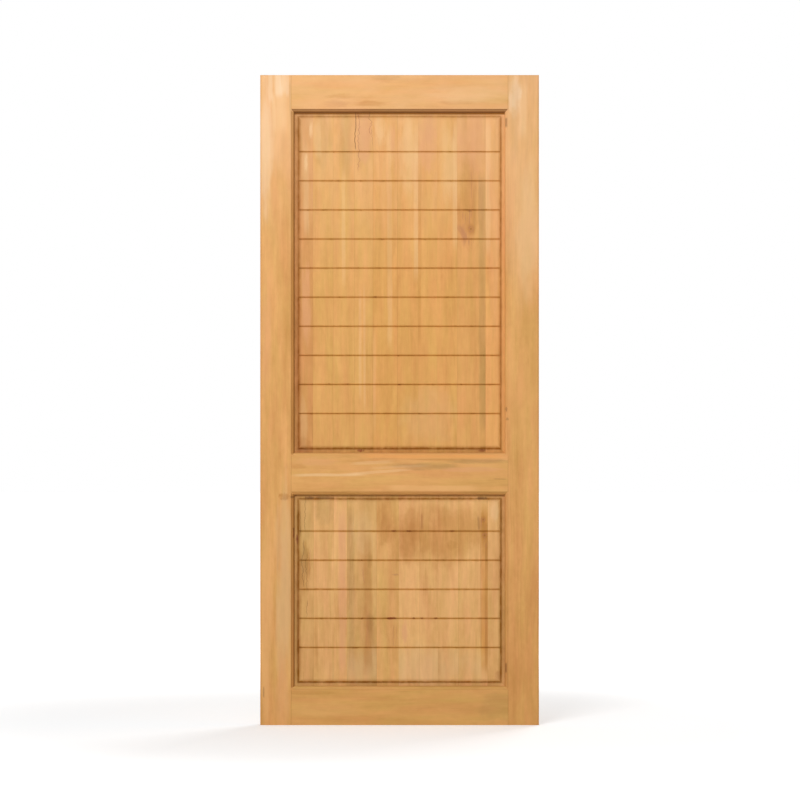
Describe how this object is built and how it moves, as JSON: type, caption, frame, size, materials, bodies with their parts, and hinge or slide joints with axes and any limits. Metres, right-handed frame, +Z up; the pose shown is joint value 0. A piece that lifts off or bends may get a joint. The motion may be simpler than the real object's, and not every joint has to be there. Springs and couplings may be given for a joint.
{
  "type": "solid wood door leaf",
  "caption": "Solid wood door leaf: stiles and rails with a scribed moulding hold two raised panels of glued upright boards, cut with level V-grooves.",
  "frame": {"origin": "middle of the leaf's bottom edge, halfway through its thickness", "axes": "+Z up along the leaf's height, +X to the right across its width seen from the front, front face towards -Y"},
  "size_m": [0.9, 0.04, 2.1],
  "materials": {
    "stile": "matte clear wax on honey-coloured softwood, upright grain",
    "rail": "matte clear wax on honey-coloured softwood, level grain",
    "upper_board": "matte clear wax on glued softwood boards in honey, peach and pink tones, upright grain",
    "lower_board": "matte clear wax on glued softwood boards in honey, olive and brown tones, upright grain"
  },
  "bodies": {
    "root": {"bottom_rail": "rail", "left_stile": "stile", "lock_rail": "rail", "lower_board_01": "lower_board", "lower_board_02": "lower_board", "lower_board_03": "lower_board", "lower_board_04": "lower_board", "lower_board_05": "lower_board", "lower_board_06": "lower_board", "lower_board_07": "lower_board", "lower_board_08": "lower_board", "lower_board_09": "lower_board", "lower_board_10": "lower_board", "right_stile": "stile", "top_rail": "rail", "upper_board_01": "upper_board", "upper_board_02": "upper_board", "upper_board_03": "upper_board", "upper_board_04": "upper_board", "upper_board_05": "upper_board", "upper_board_06": "upper_board", "upper_board_07": "upper_board", "upper_board_08": "upper_board", "upper_board_09": "upper_board", "upper_board_10": "upper_board"}
  },
  "joints": []
}
